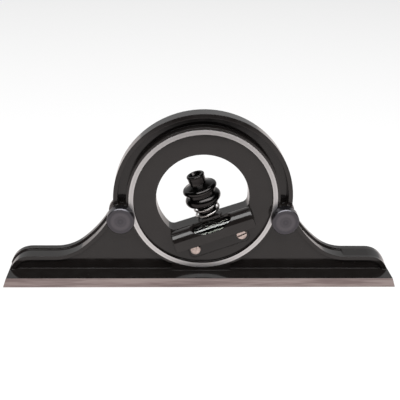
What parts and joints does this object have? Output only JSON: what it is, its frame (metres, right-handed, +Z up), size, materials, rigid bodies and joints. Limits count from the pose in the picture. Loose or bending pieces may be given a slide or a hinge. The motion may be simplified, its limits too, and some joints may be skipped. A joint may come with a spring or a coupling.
{
  "type": "bevel protractor head",
  "caption": "Arched protractor head on a straight base, with a turning turret, built-in spirit level, blade clamp and two round lock nuts.",
  "frame": {"origin": "middle of the base's ground foot, under the centre of the head's bounding box", "axes": "+X along the base to the right seen from the level side, +Y from the level side to the blade side, +Z up through the arch"},
  "size_m": [0.14, 0.0166, 0.0622],
  "materials": {
    "black_enamel": "gloss",
    "blackened_steel": "gloss black oxide",
    "bright_steel": "bright",
    "satin_steel": "satin, fine turned",
    "glass": "clear",
    "spirit": "clear, pale green",
    "plaster": "matte"
  },
  "bodies": {
    "frame": {"frame": "black_enamel"},
    "turret": {"turret": "black_enamel", "level_case": "black_enamel", "vial_glass": "glass", "vial_liquid": "spirit", "vial_bedding_left": "plaster", "vial_bedding_right": "plaster", "level_plug_left": "blackened_steel", "level_plug_right": "blackened_steel", "level_screw_left": "bright_steel", "level_screw_right": "bright_steel", "clamp_spring": "bright_steel"},
    "clamp_nut": {"clamp_nut": "blackened_steel"},
    "clamp_bolt": {"clamp_bolt": "blackened_steel"},
    "lock_nut_left": {"lock_nut_left": "satin_steel"},
    "lock_nut_right": {"lock_nut_right": "satin_steel"},
    "lock_bolt_left": {"lock_bolt_left": "satin_steel"},
    "lock_bolt_right": {"lock_bolt_right": "satin_steel"}
  },
  "joints": [
    {"name": "turret_turn", "type": "hinge", "parent": "frame", "child": "turret", "pos_m": [0, 0, 0.0309], "axis": [0, 1, 0], "continuous": true},
    {"name": "clamp_nut_turn", "type": "hinge", "parent": "turret", "child": "clamp_nut", "pos_m": [0, 0.0011, 0.0309], "axis": [-0.3338, 0, 0.9426], "range_deg": [-360, 360]},
    {"name": "clamp_bolt_draw", "type": "slide", "parent": "turret", "child": "clamp_bolt", "axis": [-0.3338, 0, 0.9426], "range_m": [-0.0007, 0.0007]},
    {"name": "lock_nut_left_turn", "type": "hinge", "parent": "frame", "child": "lock_nut_left", "pos_m": [-0.0286, -0.0045, 0.0246], "axis": [0, -1, 0], "range_deg": [0, 240]},
    {"name": "lock_bolt_left_back", "type": "slide", "parent": "frame", "child": "lock_bolt_left", "axis": [0, 1, 0], "range_m": [0, 0.000466]},
    {"name": "lock_nut_right_turn", "type": "hinge", "parent": "frame", "child": "lock_nut_right", "pos_m": [0.0286, -0.0045, 0.0246], "axis": [0, -1, 0], "range_deg": [0, 240]},
    {"name": "lock_bolt_right_back", "type": "slide", "parent": "frame", "child": "lock_bolt_right", "axis": [0, 1, 0], "range_m": [0, 0.000466]}
  ],
  "couplings": [
    {"joint": "clamp_nut_turn", "follows": "clamp_bolt_draw", "rad_per_m": -8975.9},
    {"joint": "lock_nut_left_turn", "follows": "lock_bolt_left_back", "rad_per_m": 8975.9},
    {"joint": "lock_nut_right_turn", "follows": "lock_bolt_right_back", "rad_per_m": 8975.9}
  ]
}
